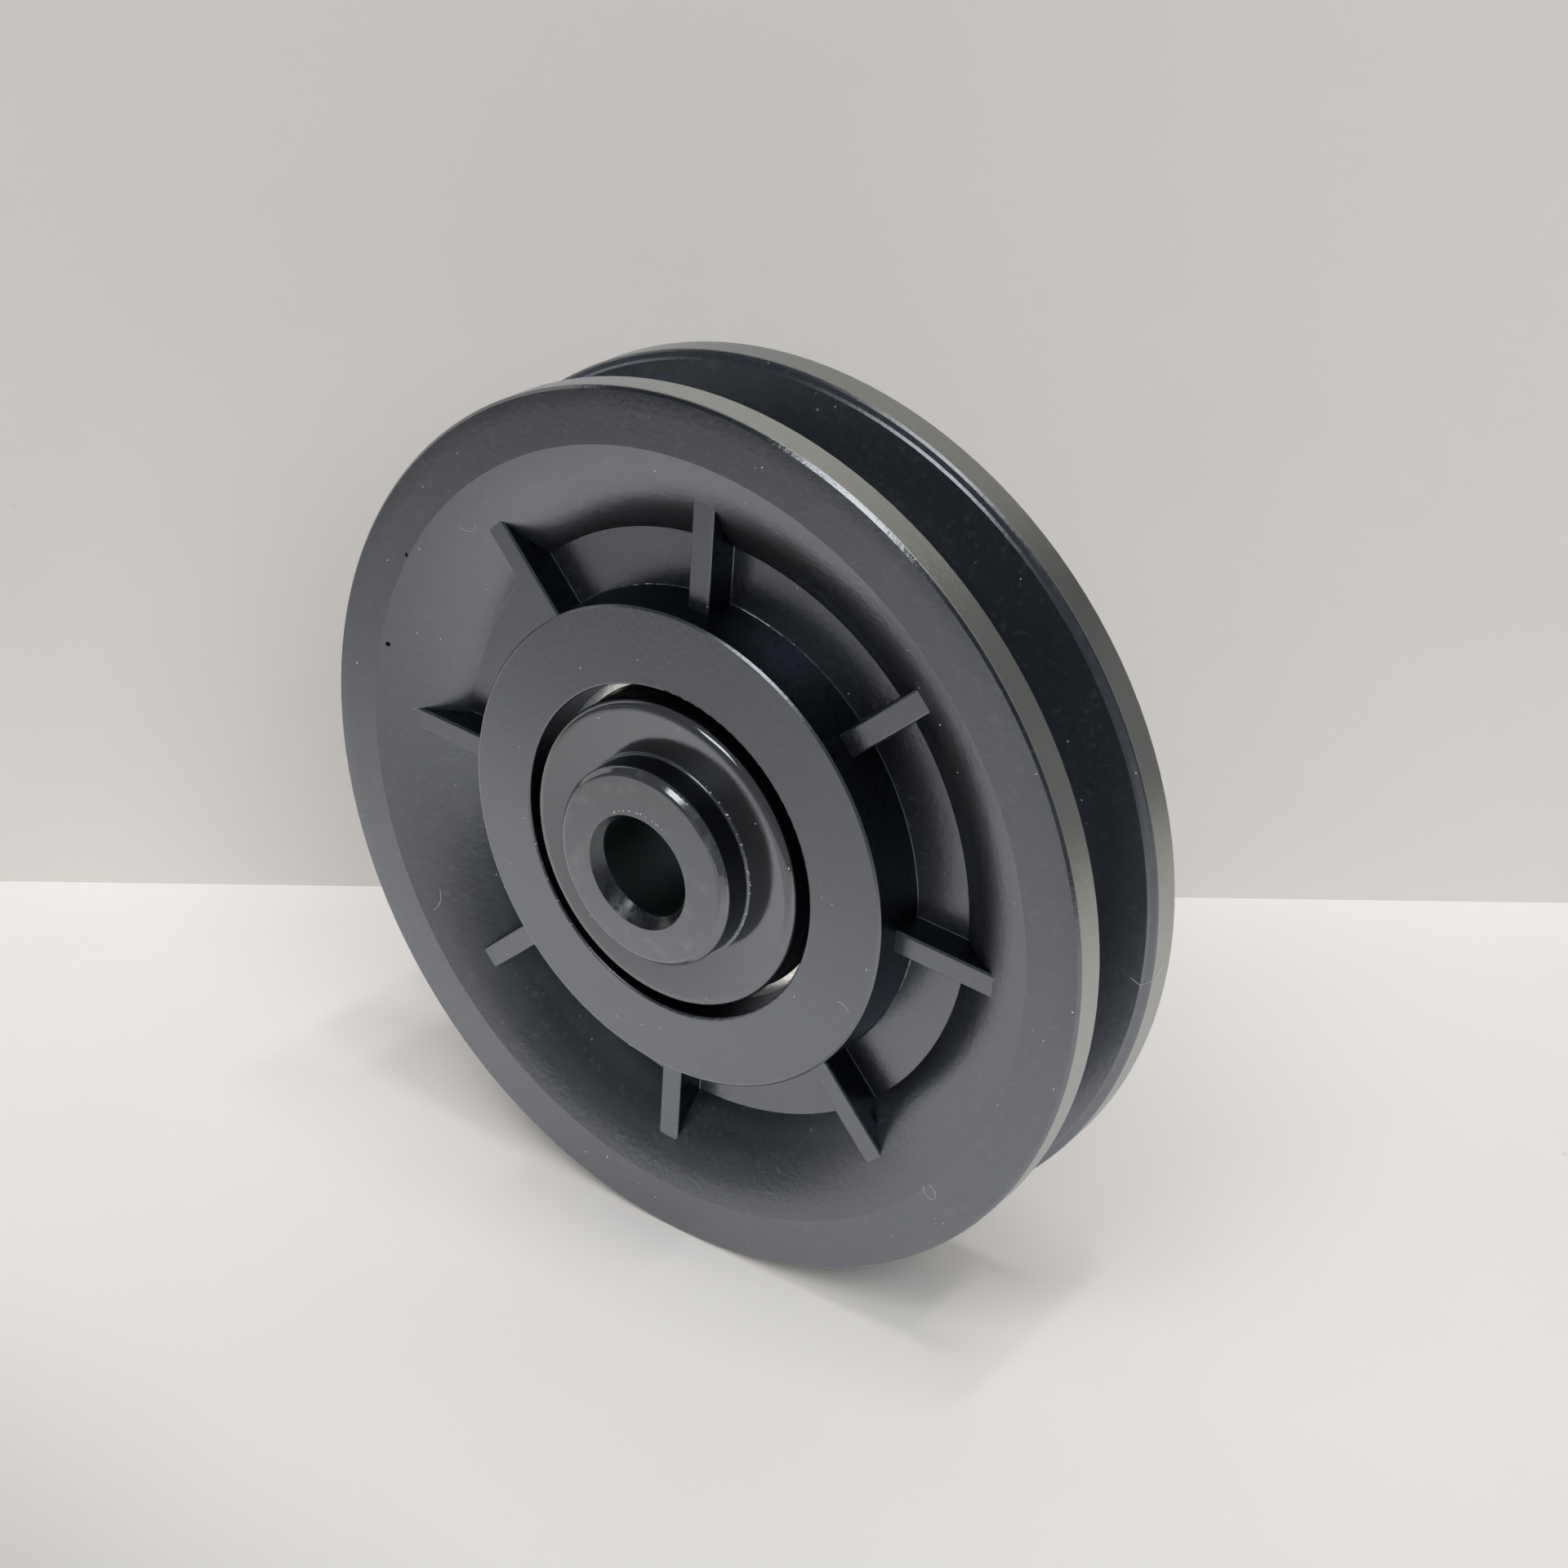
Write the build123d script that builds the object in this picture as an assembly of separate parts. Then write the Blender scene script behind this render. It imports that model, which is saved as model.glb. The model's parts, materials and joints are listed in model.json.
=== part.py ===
from build123d import *
import math
import os

# Rope sheave: a moulded plastic pulley wheel on a sealed ball bearing, with two stepped
# plastic bushings that fill the bearing's bore and take a through bolt.
# Sizes are in millimetres. The wheel's centre is the origin, the axle runs along Y with the
# front face towards -Y, and +Z is up. A profile is drawn with X as radius and Y along the axle.

# ---- wheel rim and rope groove ----
RIM_RADIUS = 45.2
RIM_HALF_WIDTH = 8.3
RIM_CORNER_BEVEL = 0.32
GROOVE_ROOT_RADIUS = 35.0       # bottom of the rope groove, from the axle
ROPE_SEAT_RADIUS = 3.6          # round bottom of the groove's section
GROOVE_FLARE_DEG = 9.0          # each groove wall leans outwards by this much
GROOVE_LIP_DEPTH = 0.9          # steep double bevel between a groove wall and the rim's tread
GROOVE_LIP_WIDTH = 0.45
LIP_BEVEL_DEPTH = 0.23          # each of the two bevels, with a steeper strip between them
LIP_BEVEL_WIDTH = 0.2

# ---- wheel side: flat ring, dish, web and boss, the same on both faces ----
RING_INNER_RADIUS = 39.75       # where the flat ring turns down into the dish
RING_EASE_RADIUS = 43.2         # from here outwards the ring's face eases back to the rim's corner
RING_EASE = 0.1
DISH_WAIST_RADIUS = 35.4        # a point half way down the dish's curved side
DISH_WAIST_HALF_WIDTH = 6.55
WEB_OUTER_RADIUS = 30.55
WEB_HALF_THICKNESS = 3.3
WEB_CORNER_ROUND = 0.12
BOSS_RADIUS = 24.76
BOSS_DRAFT = 0.14               # the boss is this much larger in radius at the web
BOSS_HALF_WIDTH = 9.05          # at the boss's outer edge
BOSS_EDGE_BEVEL = 0.2
BOSS_MOUTH_ROUND = 0.25
BOSS_MOUTH_RADIUS = 17.2
BOSS_MOUTH_HALF_WIDTH = 9.6     # the boss's face rises a little towards its mouth
RACE_LIP_RADIUS = 16.8          # plastic lip that overlaps the bearing's outer ring

# ---- ribs between boss and dish ----
RIB_COUNT = 8
RIB_PHASE_DEG = -4.9
RIB_THICKNESS = 2.4
RIB_DRAFT_DEG = 1.0
RIB_HALF_WIDTH = 6.55           # height of the rib's crest above the wheel's middle plane
RIB_ROOT_HALF_WIDTH = 3.0       # just inside the web, and clear of the rope groove
RIB_CREST_ROUND = 0.25
RIB_ROOT_FILLET = 0.12
RIB_SKIRT_WIDTH = 0.6           # the section's foot each side, sunk in the web
RIB_INNER_RADIUS = 23.5         # inside the boss
RIB_OUTER_RADIUS = 36.2         # inside the dish

# ---- sealed deep-groove ball bearing, 15 x 35 x 11 ----
BEARING_BORE_RADIUS = 7.5
BEARING_OUTER_RADIUS = 17.5
BEARING_HALF_WIDTH = 5.5
BEARING_CORNER_ROUND = 0.6
BEARING_BORE_ROUND = 0.4
PITCH_RADIUS = 12.5
BALL_COUNT = 8
BALL_RADIUS = 2.9765
BALL_PHASE_DEG = 90.0
BALL_CLEARANCE = 0.02           # between a ball and the bottom of each track
TRACK_RADIUS = 3.05             # section radius of both ball tracks
INNER_SHOULDER_RADIUS = 10.75
INNER_LAND_RADIUS = 10.2        # step that the seal's lip runs on
INNER_LAND_START = 3.9          # distance of that step from the middle plane
OUTER_SHOULDER_RADIUS = 14.45
SEAL_SEAT_RADIUS = 15.7
SEAL_SEAT_START = 4.0
RACE_FACE_CHAMFER = 0.3

# ---- rubber seals ----
SEAL_LIP_GAP = 0.05
SEAL_FACE = 5.0                 # distance of the seal's outer face from the middle plane
SEAL_THIN_FACE = 4.7            # face of the thinner web inside the bead
SEAL_BEAD_WIDTH = 0.9
SEAL_LIP_WIDTH = 0.8
SEAL_EDGE_ROUND = 0.2

# ---- pressed steel cage in two halves, riveted together ----
CAGE_INNER_RADIUS = 11.45
CAGE_OUTER_RADIUS = 13.55
CAGE_THICKNESS = 0.5
POCKET_CLEARANCE = 0.05
RIVET_SHANK_RADIUS = 0.45
RIVET_HEAD_RADIUS = 0.8
RIVET_HEAD_HEIGHT = 0.4

# ---- stepped bushings ----
AXLE_BORE_RADIUS = 5.25
COUNTERSINK_RADIUS = 5.9        # at the collar's face
COUNTERSINK_DEPTH = 1.3         # a 45 degree cone
COUNTERSINK_OFFSET = 0.6        # it is cut off centre, and fades out on the far side
COUNTERSINK_OFFSET_DEG = 236.0
BUSHING_GAP = 0.1               # each spigot stops this far short of the middle plane
SPIGOT_CHAMFER = 0.4
SHOULDER_RADIUS = 9.6           # clamps the bearing's inner ring, clear of the seal
FLANGE_RADIUS = 15.75
FLANGE_BACK = 7.0
FLANGE_FACE = 10.32             # at the flange's edge
FLANGE_HOLLOW = 0.63            # the face is dished: it lies this much lower at the collar
FLANGE_EDGE_ROUND = 0.85
FLANGE_BACK_CHAMFER = 0.4
COLLAR_RADIUS = 10.25
COLLAR_FACE = 13.2
COLLAR_EDGE_BEVEL = 0.65
COLLAR_BEVEL_ROUND = 0.5        # at both edges of that bevel
COLLAR_ROOT_ROUND = 0.3

FULL_TURN = 360.0


def polar_angles(count, phase):
    """Angles of count features spread evenly round the axle."""
    return [phase + FULL_TURN * index / count for index in range(count)]


def radial_direction(angle):
    """Unit vector square to the axle: 0 points to +X and 90 to +Z."""
    return Vector(math.cos(math.radians(angle)), 0, math.sin(math.radians(angle)))


def mirrored(shape):
    """The same shape on the other side of the wheel's middle plane."""
    return mirror(shape, about=Plane.XZ)


def corner(profile, point):
    """The profile's vertex at a drawn corner."""
    return profile.vertices().sort_by_distance((point[0], point[1], 0))[0]


def rounded(profile, point, radius):
    """The profile with one drawn corner rounded."""
    return fillet(corner(profile, point), radius)


def bevelled(profile, point, length):
    """The profile with one drawn corner bevelled."""
    return chamfer(corner(profile, point), length)


def closed_face(lines):
    """Flat face inside a closed run of lines and arcs."""
    return make_face(Curve() + lines)


def turned(profile):
    """A body of revolution about the axle."""
    return revolve(profile, Axis.Y)


def groove_wall(radius):
    """Half width of the rope groove on its straight wall, at a radius from the axle."""
    flare = math.radians(GROOVE_FLARE_DEG)
    seat_centre = GROOVE_ROOT_RADIUS + ROPE_SEAT_RADIUS
    return (ROPE_SEAT_RADIUS + (radius - seat_centre) * math.sin(flare)) / math.cos(flare)


def wheel_half_profile():
    """Section of the wheel from its middle plane to one face, cut by the bearing's seat."""
    flare = math.radians(GROOVE_FLARE_DEG)
    seat_centre = GROOVE_ROOT_RADIUS + ROPE_SEAT_RADIUS
    race_corner = BEARING_OUTER_RADIUS - BEARING_CORNER_ROUND
    seat_shoulder = (BEARING_OUTER_RADIUS, BEARING_HALF_WIDTH - BEARING_CORNER_ROUND)
    boss_mouth = (BOSS_MOUTH_RADIUS, BOSS_MOUTH_HALF_WIDTH)
    boss_edge = (BOSS_RADIUS, BOSS_HALF_WIDTH)
    boss_root = (BOSS_RADIUS + BOSS_DRAFT, WEB_HALF_THICKNESS)
    web_edge = (WEB_OUTER_RADIUS, WEB_HALF_THICKNESS)
    dish_waist = (DISH_WAIST_RADIUS, DISH_WAIST_HALF_WIDTH)
    ring_edge = (RING_INNER_RADIUS, RIM_HALF_WIDTH)
    ring_ease = (RING_EASE_RADIUS, RIM_HALF_WIDTH)
    rim_corner = (RIM_RADIUS, RIM_HALF_WIDTH - RING_EASE)
    lip_edge = (RIM_RADIUS, groove_wall(RIM_RADIUS) + GROOVE_LIP_WIDTH)
    lip_step = (lip_edge[0] - LIP_BEVEL_DEPTH, lip_edge[1] - LIP_BEVEL_WIDTH)
    lip_foot_radius = RIM_RADIUS - GROOVE_LIP_DEPTH
    lip_foot = (lip_foot_radius, groove_wall(lip_foot_radius))
    lip_strip_end = (lip_foot[0] + LIP_BEVEL_DEPTH, lip_foot[1] + LIP_BEVEL_WIDTH)
    seat_end = (
        seat_centre - ROPE_SEAT_RADIUS * math.sin(flare),
        ROPE_SEAT_RADIUS * math.cos(flare),
    )
    groove_root = (GROOVE_ROOT_RADIUS, 0)
    outline = [
        Line((BEARING_OUTER_RADIUS, 0), seat_shoulder),
        RadiusArc(seat_shoulder, (race_corner, BEARING_HALF_WIDTH), -BEARING_CORNER_ROUND),
        Polyline(
            (race_corner, BEARING_HALF_WIDTH),
            (RACE_LIP_RADIUS, BEARING_HALF_WIDTH),
            boss_mouth,
            boss_edge,
            boss_root,
            web_edge,
        ),
        ThreePointArc(web_edge, dish_waist, ring_edge),
        Line(ring_edge, ring_ease),
        TangentArc(ring_ease, rim_corner, tangent=(1, 0)),
        Polyline(rim_corner, lip_edge, lip_step, lip_strip_end, lip_foot, seat_end),
        RadiusArc(seat_end, groove_root, -ROPE_SEAT_RADIUS),
        Line(groove_root, (BEARING_OUTER_RADIUS, 0)),
    ]
    profile = closed_face(outline)
    profile = rounded(profile, boss_mouth, BOSS_MOUTH_ROUND)
    profile = bevelled(profile, boss_edge, BOSS_EDGE_BEVEL)
    profile = rounded(profile, boss_root, WEB_CORNER_ROUND)
    profile = rounded(profile, web_edge, WEB_CORNER_ROUND)
    profile = bevelled(profile, rim_corner, RIM_CORNER_BEVEL)
    return profile


def rib_section():
    """Section across a rib: drafted sides, a round-edged crest and fillets at the web."""
    draft = math.tan(math.radians(RIB_DRAFT_DEG))
    crest = RIB_THICKNESS / 2
    foot = crest + (RIB_HALF_WIDTH - WEB_HALF_THICKNESS) * draft
    skirt = foot + RIB_SKIRT_WIDTH
    outline = Polyline(
        (-skirt, RIB_ROOT_HALF_WIDTH),
        (skirt, RIB_ROOT_HALF_WIDTH),
        (skirt, WEB_HALF_THICKNESS),
        (foot, WEB_HALF_THICKNESS),
        (crest, RIB_HALF_WIDTH),
        (-crest, RIB_HALF_WIDTH),
        (-foot, WEB_HALF_THICKNESS),
        (-skirt, WEB_HALF_THICKNESS),
        close=True,
    )
    section = make_face(outline)
    for side in (-1, 1):
        section = rounded(section, (side * crest, RIB_HALF_WIDTH), RIB_CREST_ROUND)
        section = rounded(section, (side * foot, WEB_HALF_THICKNESS), RIB_ROOT_FILLET)
    return section


def rib(angle):
    """One radial rib of the rear face, from inside the boss to inside the dish."""
    outwards = radial_direction(angle)
    start = Plane(
        origin=outwards * RIB_INNER_RADIUS,
        x_dir=Vector(0, 1, 0).cross(outwards),
        z_dir=outwards,
    )
    return extrude(start * rib_section(), RIB_OUTER_RADIUS - RIB_INNER_RADIUS)


def sheave_body():
    """The moulded wheel: grooved rim, dished sides, web, boss and the ribs of both faces."""
    half = wheel_half_profile()
    wheel = turned(half + mirrored(half))
    ribs = Part() + [rib(angle) for angle in polar_angles(RIB_COUNT, RIB_PHASE_DEG)]
    return wheel + ribs + mirrored(ribs)


def track_arc(side, shoulder_radius):
    """Ball track section on one ring: side is -1 for the inner ring and +1 for the outer."""
    bottom = PITCH_RADIUS + side * (BALL_RADIUS + BALL_CLEARANCE)
    centre = bottom - side * TRACK_RADIUS
    half_width = math.sqrt(TRACK_RADIUS**2 - (shoulder_radius - centre) ** 2)
    return ThreePointArc((shoulder_radius, -half_width), (bottom, 0), (shoulder_radius, half_width))


def bearing_outer_ring():
    """Outer ring: ball track, seal seats, and a face that shows inside the wheel's lip."""
    track = track_arc(1, OUTER_SHOULDER_RADIUS)
    step = (OUTER_SHOULDER_RADIUS, SEAL_SEAT_START)
    seat = (SEAL_SEAT_RADIUS, SEAL_SEAT_START)
    mouth = (SEAL_SEAT_RADIUS, BEARING_HALF_WIDTH - RACE_FACE_CHAMFER)
    face = (SEAL_SEAT_RADIUS + RACE_FACE_CHAMFER, BEARING_HALF_WIDTH)
    shoulder = (BEARING_OUTER_RADIUS, BEARING_HALF_WIDTH)
    side = [step, seat, mouth, face, shoulder]
    far_side = [(radius, -axial) for radius, axial in reversed(side)]
    profile = closed_face([track, Polyline(track @ 1, *side, *far_side, track @ 0)])
    profile = rounded(profile, shoulder, BEARING_CORNER_ROUND)
    profile = rounded(profile, (shoulder[0], -shoulder[1]), BEARING_CORNER_ROUND)
    return turned(profile)


def bearing_inner_ring():
    """Inner ring: ball track between two shoulders, with a lower land under each seal lip."""
    track = track_arc(-1, INNER_SHOULDER_RADIUS)
    step = (INNER_SHOULDER_RADIUS, INNER_LAND_START)
    land = (INNER_LAND_RADIUS, INNER_LAND_START)
    face = (INNER_LAND_RADIUS, BEARING_HALF_WIDTH)
    bore = (BEARING_BORE_RADIUS, BEARING_HALF_WIDTH)
    side = [step, land, face, bore]
    far_side = [(radius, -axial) for radius, axial in reversed(side)]
    profile = closed_face([track, Polyline(track @ 1, *side, *far_side, track @ 0)])
    profile = rounded(profile, bore, BEARING_BORE_ROUND)
    profile = rounded(profile, (bore[0], -bore[1]), BEARING_BORE_ROUND)
    return turned(profile)


def rear_seal():
    """Rubber seal: a bead in the outer ring's seat, a thin web and a lip by the inner ring."""
    lip = INNER_LAND_RADIUS + SEAL_LIP_GAP
    lip_end = lip + SEAL_LIP_WIDTH
    bead_start = SEAL_SEAT_RADIUS - SEAL_BEAD_WIDTH
    bead_edge = (SEAL_SEAT_RADIUS, SEAL_FACE)
    bead_root = (bead_start, SEAL_FACE)
    outline = Polyline(
        (lip, SEAL_SEAT_START),
        (SEAL_SEAT_RADIUS, SEAL_SEAT_START),
        bead_edge,
        bead_root,
        (bead_start, SEAL_THIN_FACE),
        (lip_end, SEAL_THIN_FACE),
        (lip_end, SEAL_FACE),
        (lip, SEAL_FACE),
        close=True,
    )
    profile = make_face(outline)
    profile = rounded(profile, bead_edge, SEAL_EDGE_ROUND)
    profile = rounded(profile, bead_root, SEAL_EDGE_ROUND)
    return turned(profile)


def pitch_point(angle):
    """A point on the circle of ball centres."""
    return radial_direction(angle) * PITCH_RADIUS


def ball(angle):
    """One bearing ball."""
    return Pos(pitch_point(angle)) * Sphere(BALL_RADIUS)


def spheres_on_pitch(radius):
    """Spheres of one size round the pitch circle, one for each ball."""
    return [Pos(pitch_point(angle)) * Sphere(radius) for angle in ball_angles()]


def ball_angles():
    """Directions of the balls, the first one straight up."""
    return polar_angles(BALL_COUNT, BALL_PHASE_DEG)


def rivet_angles():
    """Rivets sit half way between the balls."""
    return polar_angles(BALL_COUNT, BALL_PHASE_DEG + FULL_TURN / BALL_COUNT / 2)


def axle_cylinder(radius, start, end):
    """Solid cylinder on the axle between two distances from the middle plane."""
    return extrude(Plane.XZ.offset(-start) * Circle(radius), start - end)


def cage_half_rear():
    """Pressed ribbon: flat lands at the middle plane and a round pocket over each ball."""
    pocket_radius = BALL_RADIUS + POCKET_CLEARANCE
    shell_radius = pocket_radius + CAGE_THICKNESS
    band = axle_cylinder(CAGE_OUTER_RADIUS, 0, shell_radius)
    band -= axle_cylinder(CAGE_INNER_RADIUS, 0, shell_radius)
    blank = axle_cylinder(CAGE_OUTER_RADIUS, 0, CAGE_THICKNESS) + spheres_on_pitch(shell_radius)
    ribbon = (band & blank) - spheres_on_pitch(pocket_radius)
    holes = [
        Pos(pitch_point(angle)) * axle_cylinder(RIVET_SHANK_RADIUS, 0, CAGE_THICKNESS)
        for angle in rivet_angles()
    ]
    return ribbon - holes


def cage_rivet(angle):
    """Rivet through the lands of both cage halves, domed at each end."""
    dome_radius = (RIVET_HEAD_RADIUS**2 + RIVET_HEAD_HEIGHT**2) / (2 * RIVET_HEAD_HEIGHT)
    tip = CAGE_THICKNESS + RIVET_HEAD_HEIGHT
    outline = [
        RadiusArc((0, -tip), (RIVET_HEAD_RADIUS, -CAGE_THICKNESS), -dome_radius),
        Polyline(
            (RIVET_HEAD_RADIUS, -CAGE_THICKNESS),
            (RIVET_SHANK_RADIUS, -CAGE_THICKNESS),
            (RIVET_SHANK_RADIUS, CAGE_THICKNESS),
            (RIVET_HEAD_RADIUS, CAGE_THICKNESS),
        ),
        RadiusArc((RIVET_HEAD_RADIUS, CAGE_THICKNESS), (0, tip), -dome_radius),
        Line((0, tip), (0, -tip)),
    ]
    return Pos(pitch_point(angle)) * turned(closed_face(outline))


def countersink():
    """Cone cut from the rear bushing's bore mouth, a little off the axle."""
    centre = radial_direction(COUNTERSINK_OFFSET_DEG) * COUNTERSINK_OFFSET + Vector(0, COLLAR_FACE, 0)
    cone = Cone(
        COUNTERSINK_RADIUS,
        COUNTERSINK_RADIUS - COUNTERSINK_DEPTH,
        COUNTERSINK_DEPTH,
        align=(Align.CENTER, Align.CENTER, Align.MIN),
    )
    return Plane(origin=centre, z_dir=(0, -1, 0)) * cone


def rear_bushing():
    """Stepped bushing: spigot in the bearing, shoulder on its inner ring, flange and collar."""
    spigot_end = (BEARING_BORE_RADIUS, BUSHING_GAP)
    shoulder_root = (SHOULDER_RADIUS, BEARING_HALF_WIDTH)
    flange_back_edge = (FLANGE_RADIUS, FLANGE_BACK)
    flange_edge = (FLANGE_RADIUS, FLANGE_FACE)
    collar_root = (COLLAR_RADIUS, FLANGE_FACE - FLANGE_HOLLOW)
    collar_edge = (COLLAR_RADIUS, COLLAR_FACE)
    bevel_start = (COLLAR_RADIUS, COLLAR_FACE - COLLAR_EDGE_BEVEL)
    bevel_end = (COLLAR_RADIUS - COLLAR_EDGE_BEVEL, COLLAR_FACE)
    outline = Polyline(
        (AXLE_BORE_RADIUS, BUSHING_GAP),
        spigot_end,
        (BEARING_BORE_RADIUS, BEARING_HALF_WIDTH),
        shoulder_root,
        (SHOULDER_RADIUS, FLANGE_BACK),
        flange_back_edge,
        flange_edge,
        collar_root,
        collar_edge,
        (AXLE_BORE_RADIUS, COLLAR_FACE),
        close=True,
    )
    profile = make_face(outline)
    profile = bevelled(profile, spigot_end, SPIGOT_CHAMFER)
    profile = bevelled(profile, flange_back_edge, FLANGE_BACK_CHAMFER)
    profile = rounded(profile, flange_edge, FLANGE_EDGE_ROUND)
    profile = rounded(profile, collar_root, COLLAR_ROOT_ROUND)
    profile = bevelled(profile, collar_edge, COLLAR_EDGE_BEVEL)
    profile = rounded(profile, bevel_start, COLLAR_BEVEL_ROUND)
    profile = rounded(profile, bevel_end, COLLAR_BEVEL_ROUND)
    return turned(profile) - countersink()


def build_parts():
    """Every piece of the sheave, by node name."""
    bushing = rear_bushing()
    seal = rear_seal()
    cage_half = cage_half_rear()
    parts = {
        "sheave_body": sheave_body(),
        "bearing_outer_ring": bearing_outer_ring(),
        "bearing_inner_ring": bearing_inner_ring(),
        "seal_front": mirrored(seal),
        "seal_rear": seal,
        "cage_half_front": mirrored(cage_half),
        "cage_half_rear": cage_half,
        "bushing_front": mirrored(bushing),
        "bushing_rear": bushing,
    }
    for number, angle in enumerate(ball_angles(), start=1):
        parts[f"bearing_ball_{number}"] = ball(angle)
    for number, angle in enumerate(rivet_angles(), start=1):
        parts[f"cage_rivet_{number}"] = cage_rivet(angle)
    return parts


os.makedirs("parts", exist_ok=True)
for node, solid in build_parts().items():
    export_step(solid, f"parts/{node}.step")
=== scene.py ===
import json
import math
import random

import bpy
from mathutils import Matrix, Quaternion, Vector


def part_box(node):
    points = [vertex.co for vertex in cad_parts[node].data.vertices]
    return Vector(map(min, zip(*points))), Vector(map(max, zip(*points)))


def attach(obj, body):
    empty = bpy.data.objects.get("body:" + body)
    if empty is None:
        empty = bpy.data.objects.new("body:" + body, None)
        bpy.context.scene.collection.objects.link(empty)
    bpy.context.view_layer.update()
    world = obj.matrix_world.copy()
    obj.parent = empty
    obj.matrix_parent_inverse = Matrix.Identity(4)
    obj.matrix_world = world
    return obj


# Looks of the rope sheave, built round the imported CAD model. Lengths are in metres.
# The wheel's centre is the origin, the axle runs along Y with the front face towards -Y.
# Round the axle, an angle of 0 points to +X and 90 to +Z.
# A radius is a distance from the axle, and a width is a distance from the wheel's middle plane.
# A pair of limits says where a mask starts to change and where it ends. A side is a middle
# direction round the axle, the reach to both sides of it and a soft border, all in degrees.
# Colours are linear, and the scales of noises and speckles are cells per metre.

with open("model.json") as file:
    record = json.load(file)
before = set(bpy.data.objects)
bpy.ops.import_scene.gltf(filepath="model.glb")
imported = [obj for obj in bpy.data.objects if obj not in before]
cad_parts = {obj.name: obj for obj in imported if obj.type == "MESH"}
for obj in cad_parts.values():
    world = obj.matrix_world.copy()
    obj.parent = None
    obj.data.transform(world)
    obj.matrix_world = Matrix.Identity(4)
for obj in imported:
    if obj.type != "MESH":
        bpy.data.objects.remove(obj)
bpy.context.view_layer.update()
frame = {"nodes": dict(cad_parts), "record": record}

MM = 0.001

# ---- camera: the photograph's viewing angle ----
CAMERA_PLACE = (0.13675, -0.17023, 0.11595)
CAMERA_TURN_DEG = (62.774, 0.0, 37.31)
SENSOR_WIDTH_MM = 36.0
LENS_MM = 58.1
CLIP_START = 0.01

# ---- floor and backdrop ----
FLOOR_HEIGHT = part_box("sheave_body")[0].z
FLOOR_REACH = 1.2
WALL_LEFT = (-0.0996, 0.0081)       # two points of the line where backdrop and floor meet
WALL_RIGHT = (0.0465, 0.1131)
WALL_REACH_LEFT = 0.12
WALL_REACH_RIGHT = 0.03
WALL_HEIGHT = 0.19
FLOOR_LEVELS = (232, 229, 226)      # 8-bit display colours
WALL_LEVELS = (217, 214, 210)
PAPER_ROUGHNESS = 0.75
PAPER_GLOSS = 0.3
CLOUD_SCALE = 12.0
CLOUD_SHARE = 0.97                  # of the paper's tone, where the clouds are darkest
FLECK_SCALE = 55.0
FLECK_SIZE = (0.018, 0.03)          # in cells of the pattern
FLECK_CHOICE = (0.5, 0.9)           # of a random draw from 0 to 1
FLECK_SHARE = 0.75

# ---- the table's paper: a painted pool of light round the wheel, a painted shadow over its front, and much darker far out ----
TABLE_FULL = 0.11                   # painted pool of light, full up to this distance from the wheel
TABLE_END = 0.215
TABLE_END_SHARE = 0.86
TABLE_FRONT_FULL = -0.050           # painted shadow over the front of the table, out of the camera's sight
TABLE_FRONT_DIM = -0.100
TABLE_FRONT_SHARE = 0.68
TABLE_EDGE = (0.27, 0.36)           # much darker beyond these distances
TABLE_EDGE_SHARE = 0.22

# ---- world: pale at the horizon, dim above ----
WORLD_PALE = (0.125, 0.135, 0.15)
WORLD_DIM = (0.040, 0.046, 0.054)
WORLD_CLIMB = (0.04, 0.40)          # sines of the angles above the horizon

# ---- lamps, all aimed at the wheel's centre ----
LAMPS = (                           # name, place, width, height, watts, seen in reflections
    ("strip", (0.21, 0.0, 0.93), 0.3, 0.04, 2.3, False),
    ("fill", (0.96, -0.74, 0.78), 1.2, 0.8, 8.8, False),
    ("ceiling", (0.3, -0.6, 1.1), 1.8, 1.4, 8.4, False),
    ("window", (0.08, -0.56, 0.825), 0.42, 0.36, 1.6, True),
)

# ---- dust and moulding burrs ----
CHANCE_SEED = 11
SPECKS_PER_SIDE = 90
SPECK_LENGTHS = (0.05, 0.16)        # half lengths in millimetres
BURR_LENGTHS = (0.07, 0.16)
BURR_SCATTER = 0.05                 # in millimetres, towards the axle and away from it
SPECK_NARROWNESS = 0.6              # half width and height, as shares of the half length
SPECK_FLATNESS = 0.5
DUST_RADIUS = 44.6 * MM
DUST_HOLE_SHARE = 0.02              # share of that disc's area that is left free in its middle
BURRS = (                           # radius, first and last angle, number
    (5.95 * MM, 60, 125, 16),       # edge of the bolt hole
    (10.45 * MM, -35, 60, 22),      # foot of the collar
    (17.25 * MM, 190, 250, 10),     # edge of the boss's mouth
    (24.65 * MM, 205, 260, 8),      # outer edge of the boss
)
FIBRE_RADIUS = 0.022 * MM
FIBRE_STEPS = 12
FIBRES = (                          # middle point, heading in degrees, length, bend in degrees
    (-25.5 * MM, 26.0 * MM, 20, 2.4 * MM, 70),
    (-33.0 * MM, -17.5 * MM, 80, 2.6 * MM, 35),
    (31.0 * MM, -27.0 * MM, 40, 3.0 * MM, 150),
    (21.0 * MM, -9.0 * MM, 150, 1.6 * MM, 40),
)
RIM_FIBRE = (                       # a fibre caught on the rear rim, from groove to tread
    (40.3 * MM, 4.50 * MM, -3.8 * MM),
    (41.2 * MM, 4.40 * MM, -3.1 * MM),
    (42.2 * MM, 4.45 * MM, -3.2 * MM),
    (43.0 * MM, 4.40 * MM, -4.4 * MM),
    (44.1 * MM, 4.45 * MM, -4.9 * MM),
    (44.9 * MM, 5.05 * MM, -4.5 * MM),
    (45.1 * MM, 5.90 * MM, -4.1 * MM),
    (45.2 * MM, 6.50 * MM, -3.3 * MM),
)

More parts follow.
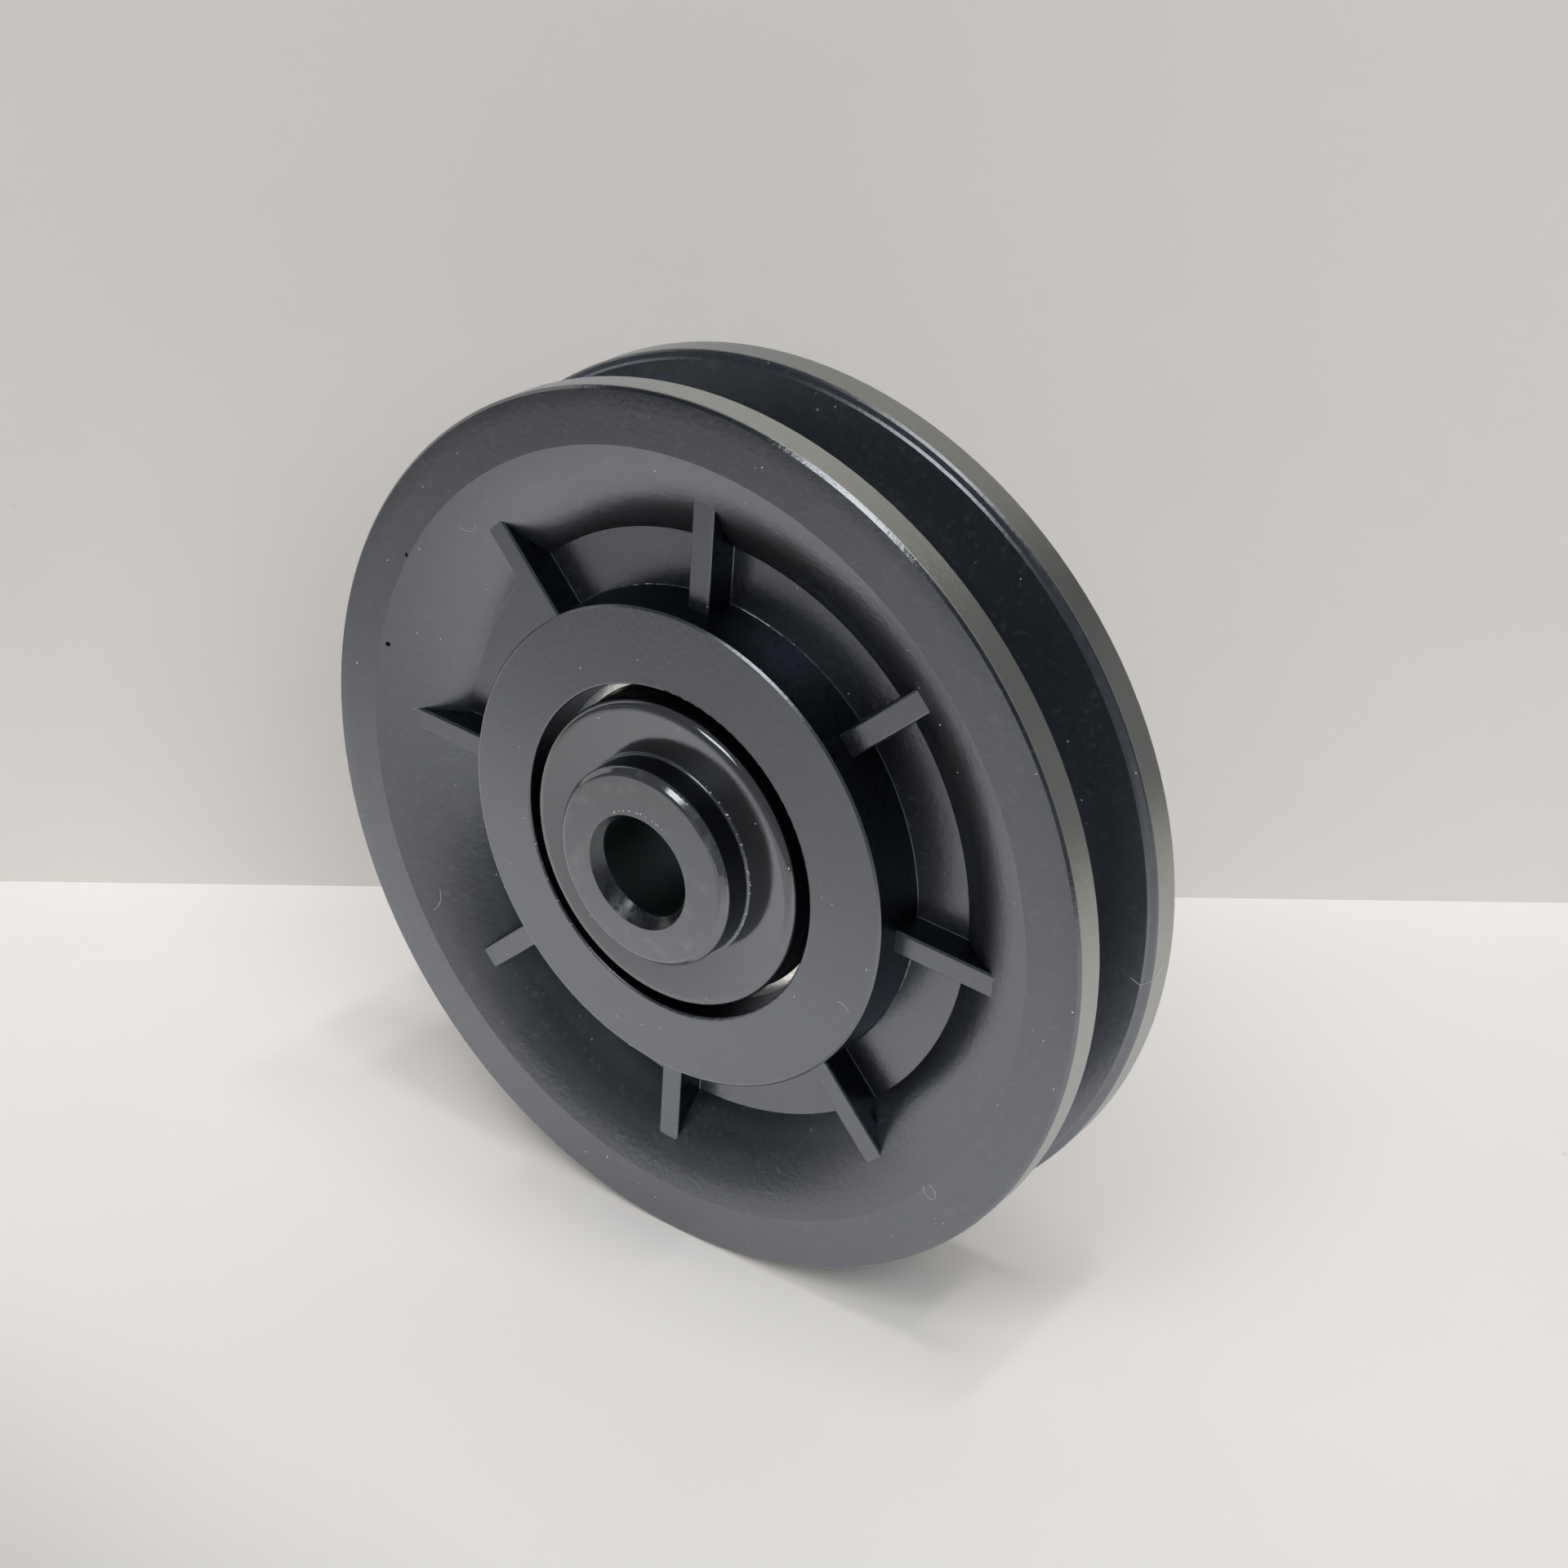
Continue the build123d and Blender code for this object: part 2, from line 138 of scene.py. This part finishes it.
# ---- all materials ----
NOISE_RANGE = (0.3, 0.7)            # most values of a noise lie between these
WALL_SLOPES = (0.15, 0.4)           # how much a surface faces along the axle, from 0 to 1
EDGE_HIGHLIGHT_COLOUR = (0.12, 0.12, 0.12)    # painted highlight along the lower-left edges of the boss and the collar
EDGE_HIGHLIGHT_SOFT = 0.04 * MM

# ---- plastic of the wheel ----
WHEEL_PATCH_SCALE = 60.0
WHEEL_COLOURS = ((0.008, 0.0088, 0.0102), (0.0115, 0.0122, 0.0135))
WHEEL_ROUGHNESS = (0.26, 0.31)
WHEEL_GRAIN_SCALE = 1800.0
WHEEL_GRAIN_HEIGHT = 0.025 * MM
WHEEL_GLOSS = (0.86, 0.91, 0.995)
WHEEL_IOR = 2.9                     # stands for plain plastic in a brighter room
# painted shade on the surfaces that run along the axle
WHEEL_WALL_SHADE_COLOUR = (0.055, 0.065, 0.08)
WHEEL_WALL_ROUGHNESS = 0.4
# painted reflection: the boss is painted paler for the brighter reflection its face shows
BOSS_PAINTED_REFLECTION_COLOUR = (0.020, 0.021, 0.023)
BOSS_RADII = (24.70 * MM, 24.78 * MM)
BOSS_EDGE_RADII = (24.43 * MM, 24.55 * MM)
BOSS_HIGHLIGHT_SIDE = (220, 70, 25)
# painted light: the groove is painted a paler, bluish grey for the light seen in it
GROOVE_LIGHT_COLOUR = (0.015, 0.018, 0.022)
GROOVE_WIDTHS = (4.9 * MM, 5.1 * MM)
GROOVE_RADII = (31.0 * MM, 32.0 * MM)
BIT_COLOUR = (0.3, 0.3, 0.3)        # tiny bits of dust in the groove
BIT_SCALE = 500.0
BIT_SIZE = (0.04, 0.07)             # in cells of the pattern
BIT_CHOICE = (0.5, 0.7)             # of a random draw from 0 to 1
SPECKLE_COLOUR = (0.034, 0.036, 0.037)
SPECKLE_SCALE = 1500.0
SPECKLE_ROUGHNESS = 0.6
SPECKLE_RANGE = (0.54, 0.70)
PIT_COLOUR = (0.005, 0.005, 0.006)
PIT_CORE = 0.6                      # share of a pit's radius that is darkest
PITS = (                            # place and radius
    ((-37.3 * MM, -8.05 * MM, 11.25 * MM), 0.34 * MM),
    ((-33.4 * MM, -8.3 * MM, 22.0 * MM), 0.26 * MM),
)
TREAD_COLOUR = (0.43, 0.43, 0.39)   # the tread is scuffed to a silvery grey
TREAD_RADII = (45.10 * MM, 45.17 * MM)
TREAD_ROUGHNESS = 0.33
TREAD_METALLIC = 0.82
TREAD_SHADE_COLOUR = (0.29, 0.288, 0.262)  # painted shade: a darker stretch of the rear rim's tread
TREAD_SHADE_DEPTHS = (0.0, 1.0 * MM)
TREAD_SHADE_SIDE = (72, 20, 22)
CORNER_RADII = (44.80 * MM, 44.86 * MM)
CORNER_WIDTHS = (7.90 * MM, 7.96 * MM)
CORNER_ROUGHNESS = 0.17

# ---- plastic of the bushings ----
BUSHING_PATCH_SCALE = 150.0
BUSHING_COLOURS = ((0.027, 0.0275, 0.029), (0.038, 0.039, 0.041))
BUSHING_ROUGHNESS = (0.10, 0.13)
BUSHING_GRAIN_SCALE = 2500.0
BUSHING_GRAIN_HEIGHT = 0.006 * MM
BUSHING_GLOSS = (0.885, 0.93, 1.0)
BUSHING_IOR = 2.8
# painted shade on the surfaces that run along the axle
BUSHING_WALL_SHADE_COLOUR = (0.06, 0.066, 0.075)
BUSHING_WALL_ROUGHNESS = 0.42
COLLAR_RADII = (10.4 * MM, 10.5 * MM)
COLLAR_EDGE_RADII = (9.46 * MM, 9.58 * MM)
COLLAR_HIGHLIGHT_SIDE = (215, 75, 25)
SMUDGE_COLOUR = (0.085, 0.09, 0.09)
SMUDGE_SCALE = 450.0
SMUDGE_ROUGHNESS = 0.65
SMUDGE_RANGE = (0.5, 0.7)
# painted light: the bore's inside is painted a pale teal for the light seen down the hole
BORE_LIGHT_COLOUR = (0.15, 0.19, 0.20)
BORE_RADII = (5.3 * MM, 5.4 * MM)
SEAM_COLOUR = (0.06, 0.062, 0.066)  # where the two bushings meet inside the bore
SEAM_WIDTHS = (0.04 * MM, 0.08 * MM)
SUNK_SHADE_COLOUR = (0.05, 0.053, 0.056)  # painted shade in the cone of the countersink
SUNK_RADII = (6.5 * MM, 6.7 * MM)
SUNK_SLOPES = (0.4, 0.85)
SUNK_SLOPE_SOFT = 0.1
SUNK_METALLIC = 0.75
SUNK_ROUGHNESS = (0.16, 0.34)
BLOTCH_SCALE = 900.0
BLOTCH_RANGE = (0.42, 0.58)

# ---- steel, rubber and dust ----
STEEL_COLOURS = ((0.86, 0.85, 0.80), (1.0, 0.99, 0.95))
STEEL_ROUGHNESS = (0.24, 0.12)
STEEL_PIT_SCALE = 1500.0
STEEL_PIT_RANGE = (0.42, 0.6)
STEEL_PIT_HEIGHT = 0.012 * MM
CAGE_SCALE = 800.0
CAGE_COLOURS = ((0.45, 0.44, 0.42), (0.6, 0.59, 0.57))
CAGE_ROUGHNESS = (0.3, 0.45)
RUBBER_SCALE = 900.0
RUBBER_COLOURS = ((0.010, 0.010, 0.011), (0.02, 0.02, 0.021))
RUBBER_ROUGHNESS = (0.5, 0.65)
LINT_SCALE = 1200.0
LINT_COLOURS = ((0.4, 0.41, 0.42), (0.7, 0.71, 0.72))
LINT_ROUGHNESS = (0.7, 0.9)
PATCH_HEIGHT = 0.01 * MM            # of the bump on cage, rubber and lint


def mesh_object(name, points, faces):
    """A mesh object linked to the scene."""
    mesh = bpy.data.meshes.new(name)
    mesh.from_pydata(points, [], faces)
    mesh.update()
    piece = bpy.data.objects.new(name, mesh)
    bpy.context.scene.collection.objects.link(piece)
    return piece


class Nodes:
    """Short names for building one node tree."""

    def __init__(self, tree):
        self.tree = tree

    def feed(self, socket, value):
        """Gives a socket a link or a value. A colour comes without its alpha."""
        if isinstance(value, bpy.types.NodeSocket):
            self.tree.links.new(value, socket)
        elif socket.type == "RGBA":
            socket.default_value = (*value, 1.0)
        else:
            socket.default_value = value

    def node(self, kind, *inputs, **settings):
        """A node with settings, and inputs in socket order, each a value or another's output."""
        made = self.tree.nodes.new(kind)
        for key, value in settings.items():
            setattr(made, key, value)
        for socket, value in zip(made.inputs, inputs):
            self.feed(socket, value)
        return made

    def math(self, operation, *inputs):
        return self.node("ShaderNodeMath", *inputs, operation=operation).outputs[0]

    def span(self, value, low, high, start=0.0, end=1.0):
        """Value taken from low..high to start..end, smoothly, and held beyond."""
        made = self.node("ShaderNodeMapRange", value, low, high, start, end,
                         interpolation_type="SMOOTHSTEP")
        return made.outputs[0]

    def fall(self, value, full, none):
        """A mask that is 1 up to one limit and falls to 0 at the next."""
        return self.span(value, full, none, 1.0, 0.0)

    def both(self, first, second):
        """A mask of the places where two masks meet."""
        return self.math("MULTIPLY", first, second)

    def either(self, first, second):
        """A mask of the places that either of two masks takes in."""
        return self.math("MAXIMUM", first, second)

    def band(self, value, low, high, soft):
        """A mask that is 1 between low and high, with soft borders outside them."""
        return self.both(self.span(value, low - soft, low), self.fall(value, high, high + soft))

    def mix(self, share, first, second):
        """Colour between first and second."""
        made = self.node("ShaderNodeMix", data_type="RGBA")
        for index, value in ((0, share), (6, first), (7, second)):
            self.feed(made.inputs[index], value)
        return made.outputs[2]

    def blend(self, share, first, second):
        """Number between first and second."""
        made = self.node("ShaderNodeMix", data_type="FLOAT")
        for index, value in ((0, share), (2, first), (3, second)):
            self.feed(made.inputs[index], value)
        return made.outputs[0]


class Shading(Nodes):
    """One material's nodes, with patterns and masks that follow the part's own shape."""

    def __init__(self, name):
        self.material = bpy.data.materials.new(name)
        self.material.use_nodes = True
        super().__init__(self.material.node_tree)
        self.shader = self.tree.nodes["Principled BSDF"]
        self.whole = self.node("ShaderNodeTexCoord").outputs["Object"]

    def noise(self, scale, detail=3.0, roughness=0.55):
        made = self.node("ShaderNodeTexNoise")
        for key, value in (("Vector", self.whole), ("Scale", scale),
                           ("Detail", detail), ("Roughness", roughness)):
            self.feed(made.inputs[key], value)
        return made.outputs["Fac"]

    def specks(self, scale, size, choice):
        """Round specks in some cells of a random pattern."""
        cells = self.node("ShaderNodeTexVoronoi")
        self.feed(cells.inputs["Vector"], self.whole)
        self.feed(cells.inputs["Scale"], scale)
        draw = self.node("ShaderNodeSeparateColor", cells.outputs["Color"]).outputs[0]
        return self.both(self.fall(cells.outputs["Distance"], *size), self.span(draw, *choice))

    def place(self):
        """Radius, depth along the axle, width and angle."""
        x, depth, z = self.node("ShaderNodeSeparateXYZ", self.whole).outputs
        square = self.math("ADD", self.math("MULTIPLY", x, x), self.math("MULTIPLY", z, z))
        radius = self.math("SQRT", square)
        width = self.math("ABSOLUTE", depth)
        angle = self.math("ARCTAN2", z, x)
        return radius, depth, width, angle

    def slope(self):
        """1 on surfaces square to the axle, and 0 on those that run along it."""
        facing = self.node("ShaderNodeTexCoord").outputs["Normal"]
        return self.math("ABSOLUTE", self.node("ShaderNodeSeparateXYZ", facing).outputs[1])

    def walls(self):
        """1 on surfaces that run along the axle, fading out as they turn across it."""
        return self.fall(self.slope(), *WALL_SLOPES)

    def toward(self, angle, middle_deg, reach_deg, soft_deg):
        """A mask of one side, round the axle."""
        turned = self.math("SUBTRACT", angle, math.radians(middle_deg))
        inside = math.cos(math.radians(reach_deg))
        outside = math.cos(math.radians(reach_deg + soft_deg))
        return self.span(self.math("COSINE", turned), outside, inside)

    def coats(self, colour, *layers):
        """A colour under layers, each a mask and the colour that it brings."""
        for mask, brought in layers:
            colour = self.mix(mask, colour, brought)
        return colour

    def bump(self, height, distance):
        made = self.node("ShaderNodeBump")
        self.feed(made.inputs["Distance"], distance)
        self.feed(made.inputs["Height"], height)
        return made.outputs[0]

    def clear_from_behind(self):
        """Lets views and light through the back of the surface."""
        behind = self.node("ShaderNodeNewGeometry").outputs["Backfacing"]
        clear = self.node("ShaderNodeBsdfTransparent").outputs[0]
        shown = self.node("ShaderNodeMixShader", behind, self.shader.outputs[0], clear).outputs[0]
        self.feed(self.tree.nodes["Material Output"].inputs["Surface"], shown)

    def finish(self, **values):
        """Values and outputs for the shader, by input name with underscores for spaces."""
        for key, value in values.items():
            self.feed(self.shader.inputs[key.replace("_", " ")], value)
        return self.material


def moulded_plastic():
    """Black plastic with fine speckles, pits and a scuffed tread, and painted light and shade:
    painted shade on the walls and on a stretch of the rear tread, a painted reflection on the paler
    boss, painted light in the groove and a painted highlight along the boss's lower-left edge.
    """
    s = Shading("moulded_plastic")
    radius, depth, width, angle = s.place()
    patches = s.noise(WHEEL_PATCH_SCALE)
    grain = s.noise(WHEEL_GRAIN_SCALE)
    # this mask also carries painted shade: the walls' colour is darkened
    walls = s.walls()
    # painted reflection: the boss is painted paler
    boss = s.fall(radius, *BOSS_RADII)
    # painted light: the groove is painted paler, and the same mask holds the dust bits
    groove = s.both(s.fall(width, *GROOVE_WIDTHS), s.span(radius, *GROOVE_RADII))
    speckle = s.span(s.noise(SPECKLE_SCALE, roughness=SPECKLE_ROUGHNESS), *SPECKLE_RANGE)
    pits = 0.0
    for middle, reach in PITS:
        away = s.node("ShaderNodeVectorMath", s.whole, middle, operation="DISTANCE").outputs["Value"]
        pits = s.either(pits, s.fall(away, PIT_CORE * reach, reach))
    tread = s.span(radius, *TREAD_RADII)
    # painted shade on a stretch of the rear rim's tread
    tread_shade = s.both(s.span(depth, *TREAD_SHADE_DEPTHS), s.toward(angle, *TREAD_SHADE_SIDE))
    corner = s.both(s.span(radius, *CORNER_RADII), s.span(width, *CORNER_WIDTHS))
    # painted highlight along the boss's lower-left edge
    edge_highlight = s.both(s.band(radius, *BOSS_EDGE_RADII, EDGE_HIGHLIGHT_SOFT), s.toward(angle, *BOSS_HIGHLIGHT_SIDE))
    bits = s.both(s.specks(BIT_SCALE, BIT_SIZE, BIT_CHOICE), groove)
    colour = s.coats(s.mix(patches, *WHEEL_COLOURS),
                     (boss, BOSS_PAINTED_REFLECTION_COLOUR),
                     (walls, WHEEL_WALL_SHADE_COLOUR),
                     (groove, GROOVE_LIGHT_COLOUR),
                     (speckle, SPECKLE_COLOUR),
                     (pits, PIT_COLOUR),
                     (tread, s.mix(tread_shade, TREAD_COLOUR, TREAD_SHADE_COLOUR)),
                     (edge_highlight, EDGE_HIGHLIGHT_COLOUR),
                     (bits, BIT_COLOUR))
    rough = s.blend(walls, s.span(patches, *NOISE_RANGE, *WHEEL_ROUGHNESS), WHEEL_WALL_ROUGHNESS)
    rough = s.blend(tread, s.blend(corner, rough, CORNER_ROUGHNESS), TREAD_ROUGHNESS)
    metallic = s.blend(tread, s.either(walls, pits), TREAD_METALLIC)
    return s.finish(Base_Color=colour, Roughness=rough, Metallic=metallic,
                    Normal=s.bump(grain, WHEEL_GRAIN_HEIGHT), IOR=WHEEL_IOR,
                    Specular_Tint=WHEEL_GLOSS)


def bushing_plastic():
    """Black plastic, glossier than the wheel's, with a smudged collar, and painted light and shade:
    painted shade on the walls and in the countersink, painted light in the bore and a painted
    highlight along the collar's lower-left edge.
    """
    s = Shading("bushing_plastic")
    radius, _, width, angle = s.place()
    patches = s.noise(BUSHING_PATCH_SCALE, 4.0)
    grain = s.noise(BUSHING_GRAIN_SCALE)
    blotches = s.noise(BLOTCH_SCALE, 2.0)
    clouds = s.span(s.noise(SMUDGE_SCALE, 5.0, SMUDGE_ROUGHNESS), *SMUDGE_RANGE)
    smudges = s.both(clouds, s.fall(radius, *COLLAR_RADII))
    # this mask also carries painted shade: the walls' colour is darkened
    walls = s.walls()
    # painted light inside the bore
    bore = s.fall(radius, *BORE_RADII)
    # painted highlight along the collar's lower-left edge
    edge_highlight = s.both(s.band(radius, *COLLAR_EDGE_RADII, EDGE_HIGHLIGHT_SOFT), s.toward(angle, *COLLAR_HIGHLIGHT_SIDE))
    seam = s.fall(width, *SEAM_WIDTHS)
    # painted shade in the countersink's cone
    sunk = s.both(s.band(s.slope(), *SUNK_SLOPES, SUNK_SLOPE_SOFT), s.fall(radius, *SUNK_RADII))
    colour = s.coats(s.mix(patches, *BUSHING_COLOURS),
                     (smudges, SMUDGE_COLOUR),
                     (walls, BUSHING_WALL_SHADE_COLOUR),
                     (bore, BORE_LIGHT_COLOUR),
                     (edge_highlight, EDGE_HIGHLIGHT_COLOUR),
                     (seam, SEAM_COLOUR),
                     (sunk, SUNK_SHADE_COLOUR))
    rough = s.blend(walls, s.span(patches, *NOISE_RANGE, *BUSHING_ROUGHNESS), BUSHING_WALL_ROUGHNESS)
    rough = s.blend(sunk, rough, s.span(blotches, *BLOTCH_RANGE, *SUNK_ROUGHNESS))
    metallic = s.either(walls, s.math("MULTIPLY", sunk, SUNK_METALLIC))
    return s.finish(Base_Color=colour, Roughness=rough, Metallic=metallic,
                    Normal=s.bump(grain, BUSHING_GRAIN_HEIGHT), IOR=BUSHING_IOR,
                    Specular_Tint=BUSHING_GLOSS)


def bearing_steel():
    """Bright ground steel with fine pits."""
    s = Shading("bearing_steel")
    pits = s.noise(STEEL_PIT_SCALE, 4.0)
    return s.finish(Base_Color=s.mix(s.span(pits, *STEEL_PIT_RANGE), *STEEL_COLOURS), Metallic=1.0,
                    Roughness=s.span(pits, *NOISE_RANGE, *STEEL_ROUGHNESS),
                    Normal=s.bump(pits, STEEL_PIT_HEIGHT))


def patchy(name, scale, detail, colours, roughness, metallic=0.0):
    """A material whose colour, roughness and height all vary in the same patches."""
    s = Shading(name)
    patches = s.noise(scale, detail)
    return s.finish(Base_Color=s.mix(patches, *colours), Metallic=metallic,
                    Roughness=s.span(patches, *NOISE_RANGE, *roughness),
                    Normal=s.bump(patches, PATCH_HEIGHT))


def cage_steel():
    """Pressed sheet steel."""
    return patchy("cage_steel", CAGE_SCALE, 4.0, CAGE_COLOURS, CAGE_ROUGHNESS, metallic=1.0)


def seal_rubber():
    """Matt black rubber."""
    return patchy("seal_rubber", RUBBER_SCALE, 3.0, RUBBER_COLOURS, RUBBER_ROUGHNESS)


def dust_lint():
    """Pale grey dust and lint."""
    return patchy("dust_lint", LINT_SCALE, 2.0, LINT_COLOURS, LINT_ROUGHNESS)


def dress():
    """Gives each CAD node the material of its slot in the record."""
    made = {build.__name__: build() for build in
            (moulded_plastic, bushing_plastic, bearing_steel, cage_steel, seal_rubber)}
    for part in frame["record"]["subparts"]:
        node = frame["nodes"][part["node"]]
        node.data.materials.clear()
        node.data.materials.append(made[part["material_slot"]])


def landing(x, z, side):
    """Where a line along the axle, coming from one side, first meets wheel or bushing."""
    start = Vector((x, side * 2 * DUST_RADIUS, z))
    way = Vector((0, -side, 0))
    best = None
    for name in ("sheave_body", "bushing_front", "bushing_rear"):
        hit, point, normal, _ = frame["nodes"][name].ray_cast(start, way)
        if hit and (best is None or side * point.y > side * best[1].y):
            best = name, point, normal
    return best


class Grains:
    """Small solids gathered into one mesh."""

    def __init__(self):
        self.points = []
        self.faces = []

    def add(self, points, faces):
        first = len(self.points)
        self.points += points
        self.faces += [tuple(first + corner for corner in face) for face in faces]

    def speck(self, place, normal, length, turn):
        """A low eight-sided lump on a surface."""
        along = Quaternion(normal, turn) @ normal.orthogonal().normalized()
        sideways = normal.cross(along) * length * SPECK_NARROWNESS
        reaches = (along * length, sideways, normal * length * SPECK_FLATNESS)
        points = [place + reach * way for reach in reaches for way in (1, -1)]
        self.add(points, [(a, b, c) for a in (0, 1) for b in (2, 3) for c in (4, 5)])

    def thread(self, path, radius, sides=6):
        """A thin round thread along a path."""
        points = []
        for before, here, after in zip(path[:1] + path, path, path[1:] + path[-1:]):
            along = (after - before).normalized()
            out = along.orthogonal().normalized()
            points += [here + Quaternion(along, math.tau * k / sides) @ out * radius
                       for k in range(sides)]
        rings = range(len(path) - 1)
        faces = [(sides * i + k, sides * i + (k + 1) % sides,
                  sides * (i + 1) + (k + 1) % sides, sides * (i + 1) + k)
                 for i in rings for k in range(sides)]
        self.add(points, faces)


def fibre_path(x, z, heading, length, bend):
    """Points along a bent fibre that lies on the front face."""
    path = []
    for step in range(-FIBRE_STEPS // 2, FIBRE_STEPS // 2 + 1):
        turn = math.radians(heading + bend * step / FIBRE_STEPS)
        reach = length * step / FIBRE_STEPS
        _, point, normal = landing(x + reach * math.cos(turn), z + reach * math.sin(turn), -1)
        path.append(point + normal * FIBRE_RADIUS)
    return path


def dust():
    """Specks and burrs on both faces, and a few fibres, each riding with what it lies on."""
    chance = random.Random(CHANCE_SEED)
    grains = {"wheel": Grains(), "hub": Grains()}
    body_of = {"sheave_body": "wheel", "bushing_front": "hub", "bushing_rear": "hub"}

    def drop(radius, angle, side, length):
        found = landing(radius * math.cos(angle), radius * math.sin(angle), side)
        if found:
            name, place, normal = found
            grains[body_of[name]].speck(place, normal, length, chance.uniform(0, math.pi))

    for side in (-1, 1):
        for _ in range(SPECKS_PER_SIDE):
            radius = DUST_RADIUS * math.sqrt(chance.uniform(DUST_HOLE_SHARE, 1.0))
            drop(radius, chance.uniform(0, math.tau), side, chance.uniform(*SPECK_LENGTHS) * MM)
        for radius, first, last, count in BURRS:
            for _ in range(count):
                angle = math.radians(chance.uniform(first, last))
                drop(radius + chance.uniform(-BURR_SCATTER, BURR_SCATTER) * MM, angle, side,
                     chance.uniform(*BURR_LENGTHS) * MM)
    for fibre in FIBRES:
        grains["wheel"].thread(fibre_path(*fibre), FIBRE_RADIUS)
    grains["wheel"].thread([Vector(point) for point in RIM_FIBRE], FIBRE_RADIUS)
    lint = dust_lint()
    for body, gathered in grains.items():
        piece = mesh_object("dust_" + body, gathered.points, gathered.faces)
        piece.data.materials.append(lint)
        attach(piece, body)


def srgb(*levels):
    """Linear colour of an 8-bit display colour."""
    def linear(level):
        share = level / 255
        return share / 12.92 if share <= 0.04045 else ((share + 0.055) / 1.055) ** 2.4
    return tuple(linear(level) for level in levels)


def painted_table_light(s):
    """How light the table is: a painted pool of light full round the wheel, a painted shadow over
    its front, and much darker far out.
    """
    distance = s.node("ShaderNodeVectorMath", s.whole, operation="LENGTH").outputs["Value"]
    depth = s.node("ShaderNodeSeparateXYZ", s.whole).outputs[1]
    far = s.span(distance, TABLE_FULL, TABLE_END, 1.0, TABLE_END_SHARE)
    front = s.span(depth, TABLE_FRONT_DIM, TABLE_FRONT_FULL, TABLE_FRONT_SHARE, 1.0)
    edge = s.span(distance, *TABLE_EDGE, 1.0, TABLE_EDGE_SHARE)
    return s.both(edge, s.both(far, front))


def paper(name, levels, table=False):
    """Matt paper with faint clouds and a few darker flecks, for the table or the backdrop."""
    s = Shading(name)
    tone = s.span(s.noise(CLOUD_SCALE), *NOISE_RANGE, CLOUD_SHARE, 1.0)
    if table:
        # the table's paper also carries the painted pool of light and the painted shadow
        tone = s.both(tone, painted_table_light(s))
    else:
        s.clear_from_behind()
    flecks = s.specks(FLECK_SCALE, FLECK_SIZE, FLECK_CHOICE)
    tone = s.both(tone, s.span(flecks, 0.0, 1.0, 1.0, FLECK_SHARE))
    toned = s.node("ShaderNodeVectorMath", srgb(*levels), operation="SCALE")
    s.feed(toned.inputs["Scale"], tone)
    return s.finish(Base_Color=toned.outputs[0], Roughness=PAPER_ROUGHNESS,
                    Specular_IOR_Level=PAPER_GLOSS)


def stage():
    """Pale floor and backdrop."""
    reach = FLOOR_REACH
    floor = mesh_object("floor", [(-reach, -reach, FLOOR_HEIGHT), (reach, -reach, FLOOR_HEIGHT),
                                  (reach, reach, FLOOR_HEIGHT), (-reach, reach, FLOOR_HEIGHT)],
                        [(0, 1, 2, 3)])
    floor.data.materials.append(paper("floor_paper", FLOOR_LEVELS, table=True))
    left = Vector((*WALL_LEFT, FLOOR_HEIGHT))
    right = Vector((*WALL_RIGHT, FLOOR_HEIGHT))
    along = (right - left).normalized()
    low_left = left - along * WALL_REACH_LEFT
    low_right = right + along * WALL_REACH_RIGHT
    up = Vector((0, 0, WALL_HEIGHT))
    wall = mesh_object("backdrop", [low_left, low_right, low_right + up, low_left + up],
                       [(0, 1, 2, 3)])
    wall.data.materials.append(paper("wall_paper", WALL_LEVELS))


def lamp(name, place, width, height, watts, glossy):
    """A rectangular lamp that shines towards the wheel's centre."""
    light = bpy.data.lights.new(name, "AREA")
    light.shape = "RECTANGLE"
    light.size = width
    light.size_y = height
    light.energy = watts
    made = bpy.data.objects.new(name, light)
    bpy.context.scene.collection.objects.link(made)
    made.location = place
    made.rotation_euler = (Vector() - Vector(place)).to_track_quat("-Z", "Y").to_euler()
    made.visible_camera = False
    made.visible_glossy = glossy


def room():
    """The world's light, and the lamps."""
    world = bpy.data.worlds.new("room")
    bpy.context.scene.world = world
    world.use_nodes = True
    sky = Nodes(world.node_tree)
    direction = sky.node("ShaderNodeTexCoord").outputs["Generated"]
    height = sky.node("ShaderNodeSeparateXYZ", direction).outputs[2]
    tone = sky.mix(sky.span(height, *WORLD_CLIMB), WORLD_PALE, WORLD_DIM)
    sky.feed(sky.tree.nodes["Background"].inputs["Color"], tone)
    for settings in LAMPS:
        lamp(*settings)


def camera():
    data = bpy.data.cameras.new("photo_camera")
    data.sensor_width = SENSOR_WIDTH_MM
    data.lens = LENS_MM
    data.clip_start = CLIP_START
    made = bpy.data.objects.new("photo_camera", data)
    bpy.context.scene.collection.objects.link(made)
    made.location = CAMERA_PLACE
    made.rotation_euler = [math.radians(turn) for turn in CAMERA_TURN_DEG]
    bpy.context.scene.camera = made


dress()
dust()
stage()
room()
camera()
bpy.context.scene.view_settings.view_transform = "Standard"
